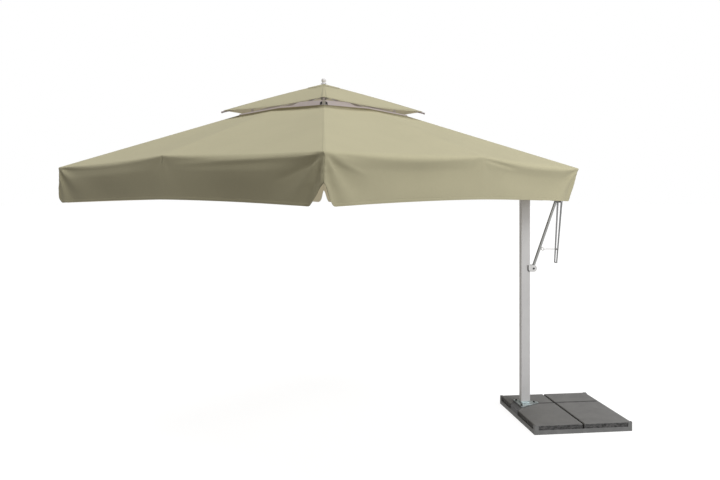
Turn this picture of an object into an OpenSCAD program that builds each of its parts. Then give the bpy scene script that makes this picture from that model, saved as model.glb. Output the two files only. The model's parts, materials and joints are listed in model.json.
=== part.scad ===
// Cantilever parasol: square two-tier canopy on a side mast, with a slab-weighted base.
// Origin on the mast's axis at ground level, +Z up, canopy towards -X. Millimetres.

/* [Canopy] */
// Side of the square canopy
canopy_side = 3500; // [3480:10:3520]
// Height of the eave at the four corners
eave_corner_z = 2420; // [2410:5:2430]
// Height of the eave at the middle of a side
eave_side_z = 2465; // [2455:5:2475]
// Rise of a corner rib for each unit of run
roof_slope = 0.298; // [0.29:0.001:0.305]
// Lowest point of the valance at a corner
valance_corner_z = 2090; // [2080:5:2095]
// Lowest point of the valance at the middle of a side
valance_side_z = 2125; // [2115:5:2130]
// Turn of the canopy about its pole
canopy_yaw = -4; // [-5:0.5:-3]
// Distance from the vent opening's corner to the pole
vent_reach = 800; // [790:5:805]

/* [Vent cap] */
// Distance from the cap's fabric corner to the pole
cap_reach = 948; // [940:2:952]
// Distance from the cap rib's end to the pole
cap_rib_reach = 968; // [965:1:975]
// Height of the cap's peak
cap_peak_z = 3219; // [3216:1:3224]

/* [Frame] */
// Distance from the mast to the pole
pole_reach = 2010; // [2000:5:2020]
// Sideways distance from the boom to the pole
pole_side = 65; // [63:1:68]
// Width of the mast along the boom
mast_w = 94; // [90:1:96]
// Depth of the mast across the boom
mast_d = 56; // [56:1:58]
// Height of the boom's pivot
boom_pivot_z = 2207; // [2205:1:2210]
// Drop of the boom for each unit of run away from the pole
boom_slope = 0.3; // [0.295:0.005:0.305]
// Height of the saddle's bolt
saddle_z = 1434; // [1400:2:1460]

/* [Base] */
// Length of the base along X
base_l = 930; // [920:5:940]
// Width of the base along Y
base_w = 966; // [960:2:970]
// Height of the slabs' top faces
slab_top_z = 84; // [80:1:86]

/* [Folding] */
// Distance from the crown's pins to the pole
pin_reach = 90; // [88:1:92]
// Distance along a corner rib from the crown's pin to its stretcher
stay_reach = 950; // [930:5:960]
// Slope of every canopy rib when folded, in degrees
folded_angle = 77; // [75:0.5:77]

/* [Hidden] */
$fn = 48;
EPS = 0.01;
CORNERS = [0, 2, 4, 6];
half_diag = canopy_side / sqrt(2);
half_side = canopy_side / 2;
gore_half = half_side / 2;

// Canopy ribs: a corner rib runs under the roof's hip, a side rib under the middle of a face.
rib_w = 14;
rib_h = 24;
rib_wall = 1.5;
rib_drop = 17;
rib_tip_gap = 10;
corner_tip_gap = 20;
tongue_w = 6;
tongue_r = 9;
slot_w = 7.4;
pin_r = 3;
hole_r = 3.3;
crown_pin_z = eave_corner_z + roof_slope * (half_diag - pin_reach) - rib_drop;
corner_angle = atan(roof_slope);
side_run = half_side - rib_tip_gap - pin_reach;
side_angle = atan((crown_pin_z - eave_side_z + rib_drop) / side_run);
corner_rib_len = (half_diag - corner_tip_gap - pin_reach) / cos(corner_angle);
side_rib_len = side_run / cos(side_angle);
function is_corner(k) = k % 2 == 0;
function rib_angle(k) = is_corner(k) ? corner_angle : side_angle;
function rib_len(k) = is_corner(k) ? corner_rib_len : side_rib_len;
function rib_z(k, r) = crown_pin_z - tan(rib_angle(k)) * (r - pin_reach);

// Stretchers: both kinds meet the hub when the canopy is open and when it is folded.
hub_drop_open = 2 * stay_reach * sin(corner_angle);
hub_drop_folded = 2 * stay_reach * sin(folded_angle);
side_stay_reach = (pow(hub_drop_folded, 2) - pow(hub_drop_open, 2))
    / (2 * (hub_drop_folded * sin(folded_angle) - hub_drop_open * sin(side_angle)));
side_stay_len = sqrt(pow(side_stay_reach, 2) + pow(hub_drop_open, 2)
    - 2 * hub_drop_open * side_stay_reach * sin(side_angle));
hub_pin_z = crown_pin_z - hub_drop_open;
function stay_at(k) = is_corner(k) ? stay_reach : side_stay_reach;
function stay_len(k) = is_corner(k) ? stay_reach : side_stay_len;
function stay_rise(k) = asin((hub_drop_open - stay_at(k) * sin(rib_angle(k))) / stay_len(k));
fork_len = 50;
fork_gap = 14.8;
fork_wall = 3;
stay_w = 12;
stay_h = 16;

// Vent cap
cap_pin_reach = 110;
cap_pin_z = 3160;
cap_rib_tip_z = 2944;
cap_rib_w = 10;
cap_rib_h = 14;
cap_slope = 0.24;
cap_edge_z = 2962;
cap_curve = (cap_peak_z - cap_slope * cap_reach - cap_edge_z) / pow(cap_reach, 2);
cap_rib_angle = atan((cap_pin_z - cap_rib_tip_z) / (cap_rib_reach - cap_pin_reach));
guide_reach = 675;
function cap_z(r) = cap_peak_z - cap_slope * r - cap_curve * pow(r, 2);
function cap_rib_z(r) = cap_pin_z - tan(cap_rib_angle) * (r - cap_pin_reach);

// Fabric
cloth_t = 1.5;
seam_share = 0.9994;
notch_top_z = 2235;
lobe_at = 82;
boom_slit_at = 319;
boom_slit_half = 48;
boom_slit_z = 2228;

// Boom, pole and hubs
boom_w = 40;
boom_h = 80;
boom_wall = 3;
boom_angle = atan(boom_slope);
boom_front_x = -pole_reach - 35;
boom_rear_x = 190;
boom_bolt_r = 8;
strut_bolt = [329, 2120];
handle_bolt = [365, 2105];
rear_bolt_r = 5;
plate_t = 4;
pole_r = 25;
pole_bottom_z = 2465;
crown_r = 99;
crown_h = 36;
hub_r = 99;
hub_h = 36;
running = 0.3;
function boom_z(x) = boom_pivot_z - boom_slope * x;

// Mast
mast_wall = 3;
mast_edge_r = 6;
mast_bottom_z = 118;
mast_top_z = 2140;
saddle_x = 82;
saddle_end_r = 33;
saddle_rear_x = 20;
saddle_bolt_r = 6;
strut_w = 24;
strut_d = 24;
strut_len = norm(strut_bolt - [saddle_x, saddle_z]);
strut_lean = atan2(strut_bolt[0] - saddle_x, strut_bolt[1] - saddle_z);
handle_foot = [322, 1485];
handle_len = norm(handle_bolt - handle_foot);
handle_lean = atan2(handle_bolt[0] - handle_foot[0], handle_bolt[1] - handle_foot[1]);
bar_w = 18;
bar_foot_w = 11;
bar_t = 6;
bar_top_y = 47;
bar_foot_y = 25;
grip_r = 4.5;
cross_bar_at = 137;

// Base
base_x0 = -151;
base_y0 = -657;
rail_h = 40;
rail_t = 4;
ledge_w = 30;
slab_bottom_z = 24;
upright_w = 38;
upright_r = 14;
slab_gap = 8;
cross_x = base_x0 + base_l / 2;
plate_z = 88;
foot_plate_t = 8;
plate_x0 = -80;
plate_x1 = 137;
plate_half = 124;
box_inset = 9;
box_gap = 5;
wing_gap = 3;
foot_bolt_r = 6;

// ---- helpers ----

module round_rect(x, y, r) {
    square([x - 2 * r, y], center = true);
    square([x, y - 2 * r], center = true);
    for (sx = [-1, 1], sy = [-1, 1])
        translate([sx * (x / 2 - r), sy * (y / 2 - r)]) circle(r = r);
}

module long_hole(x, r) {
    translate([0, -r]) square([x, 2 * r]);
    for (end = [0, x]) translate([end, 0]) circle(r = r);
}

module box(low, high) {
    translate(low) cube(high - low);
}

// A cylinder along Y, centred on the plane y = 0
module across(x, z, r, h) {
    translate([x, 0, z]) rotate([90, 0, 0]) cylinder(r = r, h = h, center = true);
}

// The frame of rib k: X away from the pole, Y along the eave, Z up
module at_rib(k) {
    translate([-pole_reach, -pole_side, 0]) rotate([0, 0, canopy_yaw + 45 * k]) children();
}

// A closed shell from a grid of outer points and the step to each inner point
module shell(outer, inward) {
    rows = len(outer);
    cols = len(outer[0]);
    count = rows * cols;
    points = concat(
        [for (i = [0:rows - 1], j = [0:cols - 1]) outer[i][j]],
        [for (i = [0:rows - 1], j = [0:cols - 1]) outer[i][j] + inward[i][j]]
    );
    function at(i, j) = i * cols + j;
    faces = concat(
        [for (i = [0:rows - 2], j = [0:cols - 2]) each [
            [at(i, j), at(i + 1, j + 1), at(i + 1, j)],
            [at(i, j), at(i, j + 1), at(i + 1, j + 1)],
            [count + at(i, j), count + at(i + 1, j), count + at(i + 1, j + 1)],
            [count + at(i, j), count + at(i + 1, j + 1), count + at(i, j + 1)]
        ]],
        [for (i = [0:rows - 2]) each [
            [at(i, 0), at(i + 1, 0), count + at(i + 1, 0)],
            [at(i, 0), count + at(i + 1, 0), count + at(i, 0)],
            [at(i + 1, cols - 1), at(i, cols - 1), count + at(i, cols - 1)],
            [at(i + 1, cols - 1), count + at(i, cols - 1), count + at(i + 1, cols - 1)]
        ]],
        [for (j = [0:cols - 2]) each [
            [at(0, j + 1), at(0, j), count + at(0, j)],
            [at(0, j + 1), count + at(0, j), count + at(0, j + 1)],
            [at(rows - 1, j), at(rows - 1, j + 1), count + at(rows - 1, j + 1)],
            [at(rows - 1, j), count + at(rows - 1, j + 1), count + at(rows - 1, j)]
        ]]
    );
    polyhedron(points = points, faces = faces, convexity = 6);
}

// ---- base ----

module base_frame() color("dimgray") translate([base_x0, base_y0, 0]) {
    difference() {
        cube([base_l, base_w, rail_h]);
        box([rail_t, rail_t, -1], [base_l - rail_t, base_w - rail_t, rail_h + 1]);
    }
    difference() {
        box([rail_t - EPS, rail_t - EPS, 0], [base_l - rail_t + EPS, base_w - rail_t + EPS, slab_bottom_z]);
        box([ledge_w, ledge_w, -1], [base_l - ledge_w, base_w - ledge_w, slab_bottom_z + 1]);
    }
    box([ledge_w - 1, -base_y0 - 20, 0], [base_l - ledge_w + 1, -base_y0 + 20, slab_bottom_z]);
    box([base_l / 2 - 20, ledge_w - 1, 0], [base_l / 2 + 20, base_w - ledge_w + 1, slab_bottom_z]);
    for (cx = [0, 1], cy = [0, 1])
        translate([cx * base_l, cy * base_w, 0]) mirror([cx, 0, 0]) mirror([0, cy, 0]) {
            upright_wing();
            mirror([1, -1, 0]) upright_wing();
        }
}

// One wing of a corner upright, with a rounded top corner
module upright_wing() translate([-EPS, rail_t, 0]) rotate([90, 0, 0]) linear_extrude(rail_t) {
    square([upright_w, slab_top_z - upright_r]);
    square([upright_w - upright_r, slab_top_z]);
    translate([upright_w - upright_r, slab_top_z - upright_r]) circle(r = upright_r);
}

// Plan of the foot plate: a triangle with cut tips, drawn in by an inset
module foot_plan(inset) offset(delta = -inset)
    polygon([[plate_x0, -plate_half], [plate_x0 + 22, -plate_half], [plate_x1, -14],
        [plate_x1, 14], [plate_x0 + 22, plate_half], [plate_x0, plate_half]]);

// Plan of the pedestal's wing, which widens from the plate to the base's left edge
module wing_plan(inset) offset(delta = -inset)
    polygon([[base_x0, -215], [plate_x0 + 12, -plate_half + 10],
        [plate_x0 + 12, plate_half - 10], [base_x0, -20]]);

// The part of the wing's plan between two distances along X
module wing_part(inset, from_x, to_x) intersection() {
    wing_plan(inset);
    translate([from_x, -base_w / 2]) square([to_x - from_x, base_w]);
}

function bolt_places() = [[-64, -89], [-58, 84], [95, 0]];

module foot_box() color("slategray") difference() {
    union() {
        translate([0, 0, slab_bottom_z]) linear_extrude(plate_z - slab_bottom_z) foot_plan(box_inset);
        translate([0, 0, slab_bottom_z]) linear_extrude(slab_top_z - slab_bottom_z)
            wing_part(0, base_x0 + rail_t + running, 0);
        // The wing's face stands flush with the rail's, above it
        translate([0, 0, rail_h + running]) linear_extrude(slab_top_z - rail_h - running)
            wing_plan(0);
    }
    translate([0, 0, slab_bottom_z + 4]) linear_extrude(plate_z - slab_bottom_z - 14)
        foot_plan(box_inset + 4);
    translate([0, 0, slab_bottom_z - 1]) linear_extrude(slab_top_z - slab_bottom_z - 3)
        wing_part(4, base_x0 + rail_t + running + 4, plate_x0 - 4);
    for (p = bolt_places()) translate([p[0], p[1], plate_z - 8]) cylinder(r = foot_bolt_r, h = 9);
    translate([-128, -139, slab_top_z - 5]) cylinder(r = 6, h = 6);
}

// A slab with chamfered top edges between two corners in plan, its corner at the mast foot cut away
module slab(low, high) {
    chamfer = 6;
    color("gray") difference() {
        union() {
            box([low[0], low[1], slab_bottom_z], [high[0], high[1], slab_top_z - chamfer]);
            hull() {
                box([low[0], low[1], slab_top_z - chamfer - 1], [high[0], high[1], slab_top_z - chamfer]);
                box([low[0] + chamfer, low[1] + chamfer, slab_top_z - 1],
                    [high[0] - chamfer, high[1] - chamfer, slab_top_z]);
            }
        }
        linear_extrude(plate_z) {
            foot_plan(box_inset - box_gap);
            wing_plan(-wing_gap);
        }
    }
}
slab_x = [base_x0 + rail_t + 2, cross_x - slab_gap, cross_x + slab_gap, base_x0 + base_l - rail_t - 2];
slab_y = [base_y0 + rail_t + 2, -slab_gap, slab_gap, base_y0 + base_w - rail_t - 2];
module slab_front_left() slab([slab_x[0], slab_y[0]], [slab_x[1], slab_y[1]]);
module slab_front_right() slab([slab_x[2], slab_y[0]], [slab_x[3], slab_y[1]]);
module slab_back_left() slab([slab_x[0], slab_y[2]], [slab_x[1], slab_y[3]]);
module slab_back_right() slab([slab_x[2], slab_y[2]], [slab_x[3], slab_y[3]]);

module foot_plate() color("lightsteelblue") {
    difference() {
        translate([0, 0, plate_z]) linear_extrude(foot_plate_t) foot_plan(0);
        for (p = bolt_places())
            translate([p[0], p[1], plate_z - 1]) cylinder(r = foot_bolt_r + 0.5, h = foot_plate_t + 2);
    }
    // Low webs from the mast's foot towards the plate's left corners
    for (v = [-1, 1]) translate([-40, v * 33, plate_z + foot_plate_t - EPS])
        rotate([90, 0, v * 99]) translate([0, 0, -2]) linear_extrude(4)
            polygon([[0, 0], [30, 0], [30, 3], [0, 10]]);
}

module foot_bolts() color("silver") for (p = bolt_places()) translate([p[0], p[1], 0]) {
    translate([0, 0, plate_z - 8]) cylinder(r = foot_bolt_r, h = foot_plate_t + 8 + EPS);
    translate([0, 0, plate_z + foot_plate_t]) cylinder(r = 12, h = 2.5);
    translate([0, 0, plate_z + foot_plate_t + 2]) cylinder(r = 9.5, h = 8, $fn = 6);
}

// ---- mast ----

module mast_foot() color("silver") {
    foot_top = plate_z + foot_plate_t;
    translate([0, 0, foot_top]) linear_extrude(11) round_rect(mast_w - 16, mast_d - 16, 4);
    translate([0, 0, foot_top + 11 - EPS]) linear_extrude(mast_bottom_z - foot_top - 11 + EPS)
        round_rect(mast_w + 1, mast_d + 1, mast_edge_r);
    translate([0, 0, mast_bottom_z - 1]) linear_extrude(120)
        round_rect(mast_w - 2 * mast_wall - 1, mast_d - 2 * mast_wall - 1, mast_edge_r - mast_wall);
}

module mast() color("silver") translate([0, 0, mast_bottom_z])
    linear_extrude(mast_top_z - mast_bottom_z) difference() {
        round_rect(mast_w, mast_d, mast_edge_r);
        round_rect(mast_w - 2 * mast_wall, mast_d - 2 * mast_wall, mast_edge_r - mast_wall);
    }

module mast_head() color("dimgray") difference() {
    union() {
        translate([0, 0, mast_top_z - 100]) linear_extrude(100 + EPS)
            round_rect(mast_w - 2 * mast_wall - 1, mast_d - 2 * mast_wall - 1, mast_edge_r - mast_wall);
        translate([0, 0, mast_top_z]) linear_extrude(6) round_rect(mast_w, mast_d, mast_edge_r);
        for (s = [-1, 1]) {
            box([-38, s * 24.6 - 3.4, mast_top_z], [38, s * 24.6 + 3.4, boom_pivot_z]);
            translate([0, s * 24.6, 0]) across(0, boom_pivot_z, 38, 6.8);
        }
    }
    across(0, boom_pivot_z, boom_bolt_r, mast_d + 20);
}

module boom_bolt() color("silver") {
    across(0, boom_pivot_z, boom_bolt_r, mast_d + 12);
    for (s = [-1, 1]) translate([0, s * (mast_d / 2 + 6), 0]) across(0, boom_pivot_z, 14, 8);
}

// ---- boom and what it carries ----

// The boom's own frame: X along the tube towards the handle, centred on the pivot
module on_boom() translate([0, 0, boom_pivot_z]) rotate([0, boom_angle, 0]) children();

boom_from = boom_front_x / cos(boom_angle);
boom_to = boom_rear_x / cos(boom_angle);

module boom_tube() color("gainsboro") difference() {
    on_boom() translate([boom_from, 0, 0]) rotate([90, 0, 90]) linear_extrude(boom_to - boom_from)
        difference() {
            round_rect(boom_w, boom_h, 6);
            round_rect(boom_w - 2 * boom_wall, boom_h - 2 * boom_wall, 3);
        }
    across(0, boom_pivot_z, boom_bolt_r + running, boom_w + 2);
}

module boom_end_cap() color("dimgray") on_boom() translate([boom_from, 0, 0]) rotate([90, 0, -90]) {
    linear_extrude(4) round_rect(boom_w, boom_h, 6);
    translate([0, 0, -25]) linear_extrude(25 + EPS)
        round_rect(boom_w - 2 * boom_wall - 1, boom_h - 2 * boom_wall - 1, 3);
}

module rear_bracket() color("gray") difference() {
    for (s = [-1, 1]) translate([0, s * (boom_w / 2 + plate_t / 2), 0])
        rotate([90, 0, 0]) linear_extrude(plate_t, center = true) {
            polygon([[70, boom_z(70) - 31], [boom_rear_x, boom_z(boom_rear_x) - 31], [318, 2104],
                [handle_bolt[0], handle_bolt[1] - 18], handle_bolt + [13, 13],
                [boom_rear_x, boom_z(boom_rear_x) + 31], [70, boom_z(70) + 31]]);
            for (bolt = [strut_bolt, handle_bolt]) translate(bolt) circle(r = 18);
        }
    across(strut_bolt[0], strut_bolt[1], rear_bolt_r, boom_w + 20);
    across(handle_bolt[0], handle_bolt[1], rear_bolt_r, boom_w + 20);
}

module rear_bolts() color("silver") {
    across(strut_bolt[0], strut_bolt[1], rear_bolt_r, boom_w + 2 * plate_t + 4);
    across(handle_bolt[0], handle_bolt[1], rear_bolt_r, 2 * bar_top_y + 2 * bar_t + 8);
    for (s = [-1, 1]) {
        translate([0, s * (boom_w / 2 + plate_t + 3), 0]) across(strut_bolt[0], strut_bolt[1], 10, 6);
        translate([0, s * (bar_top_y + bar_t / 2 + 5), 0]) across(handle_bolt[0], handle_bolt[1], 10, 6);
        // Sleeve that spaces the handle's bar from the bracket
        translate([0, s * (boom_w / 2 + plate_t + 9), 0]) across(handle_bolt[0], handle_bolt[1], 9, 18);
    }
}

bracket_z = boom_z(-pole_reach);
module pole_bracket() color("gray") difference() {
    union() {
        translate([-pole_reach, -pole_side, bracket_z - 40]) cylinder(r = pole_r + 7, h = 80);
        box([-pole_reach - 25, -pole_side + 20, bracket_z - 28],
            [-pole_reach + 25, -boom_w / 2, bracket_z + 28]);
    }
    translate([-pole_reach, -pole_side, bracket_z - 41]) cylinder(r = pole_r, h = 82);
}

module pole() color("gainsboro") translate([-pole_reach, -pole_side, pole_bottom_z]) difference() {
    cylinder(r = pole_r, h = crown_pin_z + crown_h / 2 - pole_bottom_z);
    translate([0, 0, -1]) cylinder(r = pole_r - 2, h = crown_pin_z + crown_h / 2 - pole_bottom_z + 2);
}

// A slotted disc that holds the inner ends of the ribs or of the stretchers
module slotted_disc(r, h, bore_r, slot_from, slots, step) difference() {
    cylinder(r = r, h = h, center = true);
    cylinder(r = bore_r, h = h + 2, center = true);
    for (k = [0:slots - 1]) rotate([0, 0, canopy_yaw + step * k])
        translate([slot_from, -slot_w / 2, -h / 2 - 1]) cube([r, slot_w, h + 2]);
}

module crown() color("dimgray") translate([-pole_reach, -pole_side, crown_pin_z]) difference() {
    slotted_disc(crown_r, crown_h, pole_r, 76, 8, 45);
    for (k = [0:7]) rotate([0, 0, canopy_yaw + 45 * k]) translate([pin_reach, 0, 0])
        rotate([90, 0, 0]) cylinder(r = pin_r, h = 30, center = true);
}

module crown_pins() color("silver") for (k = [0:7]) at_rib(k)
    across(pin_reach, crown_pin_z, pin_r, 26);

module cap_hub() color("dimgray") {
    translate([-pole_reach, -pole_side, cap_pin_z]) slotted_disc(118, 18, 12, 92, 4, 90);
    translate([-pole_reach, -pole_side, crown_pin_z + crown_h / 2])
        cylinder(r = 45, h = cap_pin_z - 9 - crown_pin_z - crown_h / 2 + EPS);
    for (k = CORNERS) at_rib(k) across(cap_pin_reach, cap_pin_z, pin_r, 12);
}

module finial() color("white") translate([-pole_reach, -pole_side, 0]) {
    translate([0, 0, cap_pin_z - 9]) cylinder(r = 12, h = cap_peak_z - cap_pin_z + 30);
    translate([0, 0, cap_peak_z + 2]) cylinder(r1 = 30, r2 = 16, h = 12);
    translate([0, 0, cap_peak_z + 34.5]) sphere(r = 22.5);
}

module lower_hub() color("dimgray") translate([-pole_reach, -pole_side, hub_pin_z])
    slotted_disc(hub_r, hub_h, pole_r + 1, 74, 8, 45);

// ---- ribs and stretchers ----

module rib(k) color("gainsboro") at_rib(k) difference() {
    union() {
        translate([pin_reach, 0, crown_pin_z]) rotate([0, rib_angle(k), 0]) {
            difference() {
                box([26, -rib_w / 2, -rib_h / 2], [rib_len(k), rib_w / 2, rib_h / 2]);
                box([60, -rib_w / 2 + rib_wall, -rib_h / 2 + rib_wall],
                    [rib_len(k) - 20, rib_w / 2 - rib_wall, rib_h / 2 - rib_wall]);
            }
            across(0, 0, tongue_r, tongue_w);
            box([0, -tongue_w / 2, -tongue_r], [26 + EPS, tongue_w / 2, tongue_r]);
        }
        // Fork that guides the vent cap's rib
        if (is_corner(k)) {
            box([guide_reach - 12, -9, rib_z(k, guide_reach)],
                [guide_reach + 12, 9, cap_rib_z(guide_reach) - 30]);
            for (s = [-1, 1])
                translate([guide_reach, s * 7.5, cap_rib_z(guide_reach) - 16])
                    cube([24, 3, 32], center = true);
        }
    }
    across(pin_reach, crown_pin_z, hole_r, rib_w + 2);
    translate([pin_reach, 0, crown_pin_z]) rotate([0, rib_angle(k), 0])
        across(stay_at(k), 0, hole_r, rib_w + 2);
}

module stretcher(k) color("silver") at_rib(k)
    translate([pin_reach, 0, hub_pin_z]) rotate([0, -stay_rise(k), 0]) {
        len_k = stay_len(k);
        across(0, 0, tongue_r, tongue_w);
        box([0, -tongue_w / 2, -tongue_r + 1], [26, tongue_w / 2, tongue_r - 1]);
        box([25, -stay_w / 2, -stay_h / 2], [len_k - fork_len - 8, stay_w / 2, stay_h / 2]);
        box([len_k - fork_len - 10, -fork_gap / 2 - fork_wall, -7],
            [len_k - fork_len, fork_gap / 2 + fork_wall, 7]);
        for (s = [-1, 1]) {
            arm_y = s * (fork_gap + fork_wall) / 2;
            box([len_k - fork_len - 1, arm_y - fork_wall / 2, -7], [len_k, arm_y + fork_wall / 2, 7]);
            translate([0, arm_y, 0]) across(len_k, 0, 7, fork_wall);
        }
        across(len_k, 0, pin_r, fork_gap + 2 * fork_wall + 3);
    }

module cap_rib(k) color("thistle") at_rib(k) difference() {
    translate([cap_pin_reach, 0, cap_pin_z]) rotate([0, cap_rib_angle, 0]) {
        full = (cap_rib_reach - cap_pin_reach) / cos(cap_rib_angle);
        across(0, 0, 7, tongue_w);
        box([0, -tongue_w / 2, -cap_rib_h / 2], [20, tongue_w / 2, cap_rib_h / 2]);
        box([18, -cap_rib_w / 2, -cap_rib_h / 2], [full - 8, cap_rib_w / 2, cap_rib_h / 2]);
        translate([full - 10, 0, 0]) rotate([0, 90, 0]) cylinder(r = 9, h = 10);
    }
    across(cap_pin_reach, cap_pin_z, hole_r, 20);
}

// ---- fabric ----

// Height of the valance's lower edge at a distance along the side from its corner
function hem_z(d) = valance_side_z
    - (valance_side_z - valance_corner_z) * pow((half_side - d) / half_side, 2);

// A gore is centred on its rib. column = [share of the way to the seam, side, hem height]
function corner_columns(slit) = let (
    near = [[lobe_at, hem_z(lobe_at)], [lobe_at / 2, 2115], [16, 2222]],
    slit_side = [[gore_half * seam_share, hem_z(gore_half)],
        [boom_slit_at + boom_slit_half, hem_z(boom_slit_at)],
        [boom_slit_at + boom_slit_half - 1, boom_slit_z],
        [boom_slit_at - boom_slit_half, boom_slit_z],
        [boom_slit_at - boom_slit_half - 1, hem_z(boom_slit_at)]],
    plain_side = [[gore_half * seam_share, hem_z(gore_half)], [gore_half / 2, hem_z(gore_half / 2)]],
    left = concat(plain_side, near),
    right = concat(slit ? slit_side : plain_side, near)
) concat(
    [for (c = left) [-c[0], c[1]]],
    [[0, notch_top_z]],
    [for (i = [len(right) - 1:-1:0]) right[i]]
);
function side_columns() = [for (v = [-1, -0.5, 0, 0.5, 1])
    [v * gore_half * seam_share, hem_z(half_side - abs(v) * gore_half)]];

corner_vent = [vent_reach, 0, eave_corner_z + roof_slope * (half_diag - vent_reach)];
vent_side_r = vent_reach / sqrt(2);
side_vent = [vent_side_r, 0, rib_z(1, vent_side_r) + rib_drop];
seam_vent_z = (corner_vent[2] + side_vent[2]) / 2;
seam_eave_z = (eave_corner_z + eave_side_z) / 2;

// The point on the eave, and on the vent's edge, at a signed distance from the rib along the side
function eave_point(k, d) = let (share = abs(d) / gore_half) is_corner(k)
    ? [half_diag - abs(d) / sqrt(2), d / sqrt(2), eave_corner_z + (seam_eave_z - eave_corner_z) * share]
    : [half_side, d, eave_side_z + (seam_eave_z - eave_side_z) * share];
function vent_point(k, d) = let (share = abs(d) / gore_half, e = d * vent_reach / half_diag) is_corner(k)
    ? [vent_reach - abs(e) / sqrt(2), e / sqrt(2), corner_vent[2] + (seam_vent_z - corner_vent[2]) * share]
    : [vent_side_r, e, side_vent[2] + (seam_vent_z - side_vent[2]) * share];
function inward(k, d) = !is_corner(k) ? [-1, 0, 0]
    : d == 0 ? [-sqrt(2), 0, 0] : [-1 / sqrt(2), -sign(d) / sqrt(2), 0];

module gore(k) {
    columns = is_corner(k) ? corner_columns(k == 0) : side_columns();
    color(k > 2 && k < 7 ? "tan" : "wheat") at_rib(k) shell(
        concat(
            [for (t = [0, 0.5, 1]) [for (c = columns)
                vent_point(k, c[0]) * (1 - t) + eave_point(k, c[0]) * t]],
            [for (t = [0.5, 1]) [for (c = columns) let (e = eave_point(k, c[0]))
                [e[0], e[1], e[2] + (c[1] - e[2]) * t]]]
        ),
        concat(
            [for (t = [0, 1]) [for (c = columns) [0, 0, -cloth_t]]],
            [[for (c = columns) inward(k, c[0]) * cloth_t + [0, 0, -cloth_t]]],
            [for (t = [0, 1]) [for (c = columns) inward(k, c[0]) * cloth_t]]
        )
    );
}

module cap_gore(k) {
    inner = 0.03;
    steps = 6;
    color("palegoldenrod") at_rib(k) shell(
        [for (i = [0:steps]) let (t = inner + (1 - inner) * i / steps)
            [for (v = [-1, -0.5, 0, 0.5, 1] * seam_share)
                [cap_reach * t * (1 - abs(v) / 2), cap_reach * t * v / 2, cap_z(cap_reach * t)]]],
        [for (i = [0:steps]) [for (v = [0:4]) [0, 0, -cloth_t]]]
    );
}

// ---- saddle, strut and handle ----

module saddle() color("dimgray") difference() {
    union() {
        for (s = [-1, 1]) translate([0, s * (mast_d / 2 + running + 2), 0]) {
            across(saddle_x, saddle_z, saddle_end_r, 4);
            rotate([90, 0, 0]) translate([0, 0, -2]) linear_extrude(4)
                polygon([[saddle_rear_x, saddle_z - 18], [saddle_rear_x + 17, saddle_z - saddle_end_r],
                    [saddle_x, saddle_z - saddle_end_r], [saddle_x, saddle_z + saddle_end_r],
                    [saddle_rear_x, saddle_z + saddle_end_r]]);
        }
        box([mast_w / 2 + running, -mast_d / 2 - 1, saddle_z - saddle_end_r],
            [mast_w / 2 + running + 4, mast_d / 2 + 1, saddle_z + saddle_end_r]);
    }
    across(saddle_x, saddle_z, saddle_bolt_r, mast_d + 30);
}

module saddle_bolt() color("silver") {
    across(saddle_x, saddle_z, saddle_bolt_r, mast_d + 12);
    for (s = [-1, 1])
        translate([0, s * (mast_d / 2 + running + 4 + 2.5), 0]) across(saddle_x, saddle_z, 9.5, 5);
}

// The strut's own frame: Z from the saddle's bolt towards the boom
module on_strut() translate([saddle_x, 0, saddle_z]) rotate([0, strut_lean, 0]) children();

module strut() color("darkgray") difference() {
    on_strut() {
        translate([0, 0, 14]) linear_extrude(strut_len - 28) round_rect(strut_w, strut_d, 5);
        for (z = [0, strut_len]) across(0, z, 15, strut_d);
    }
    on_strut() across(0, 0, saddle_bolt_r + 1.5, strut_d + 2);
    on_strut() across(0, strut_len, rear_bolt_r + running, strut_d + 2);
}

// The handle's own frame: Z from the grip towards the boom
module on_handle() translate([handle_bolt[0], 0, handle_bolt[1]]) rotate([0, handle_lean, 0])
    translate([0, 0, -handle_len]) children();

module handle() color("gray") difference() {
    on_handle() {
        spread = atan2(bar_top_y - bar_foot_y, handle_len);
        for (s = [-1, 1]) {
            // A flat bar that narrows towards the grip
            translate([0, s * bar_foot_y, 0]) rotate([90 - s * spread, 0, 0])
                linear_extrude(bar_t, center = true)
                    polygon([[-bar_foot_w / 2, 0], [bar_foot_w / 2, 0],
                        [bar_w / 2, handle_len / cos(spread)], [-bar_w / 2, handle_len / cos(spread)]]);
            translate([0, s * bar_top_y, 0]) across(0, handle_len, bar_w / 2, bar_t);
        }
        across(0, 3, grip_r, 2 * bar_foot_y + bar_t);
        across(0, cross_bar_at, grip_r, 2 * bar_foot_y + 13);
    }
    on_handle() across(0, handle_len, rear_bolt_r + running, 3 * bar_top_y);
}

// Ring on a pad that is riveted to the strut, a long link and an open clip for the handle's cross bar
module handle_catch() color("silver") {
    clip = handle_foot + (cross_bar_at / handle_len) * (handle_bolt - handle_foot);
    pad_x = strut_w / 2;
    ring = [34, 215];
    on_strut() {
        box([pad_x, -8, ring[1] - 15], [pad_x + 5, 8, ring[1] + 15]);
        translate([ring[0], 0, ring[1]]) rotate([90, 0, 0]) rotate_extrude()
            translate([14, 0]) circle(r = 4);
    }
    ring_x = saddle_x + ring[0] * cos(strut_lean) + ring[1] * sin(strut_lean);
    ring_z = saddle_z - ring[0] * sin(strut_lean) + ring[1] * cos(strut_lean);
    link = clip - [7, 0] - [ring_x + 16, ring_z];
    translate([ring_x + 16, 0, ring_z]) rotate([90, -atan2(link[1], link[0]), 0])
        linear_extrude(6, center = true) difference() {
            long_hole(norm(link) - 9, 8);
            long_hole(norm(link) - 9, 4.5);
        }
    difference() {
        across(clip[0], clip[1], 8.5, 14);
        across(clip[0], clip[1], grip_r + running, 20);
        box([clip[0], -10, clip[1] - 10], [clip[0] + 10, 10, clip[1] + 10]);
    }
}

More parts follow.
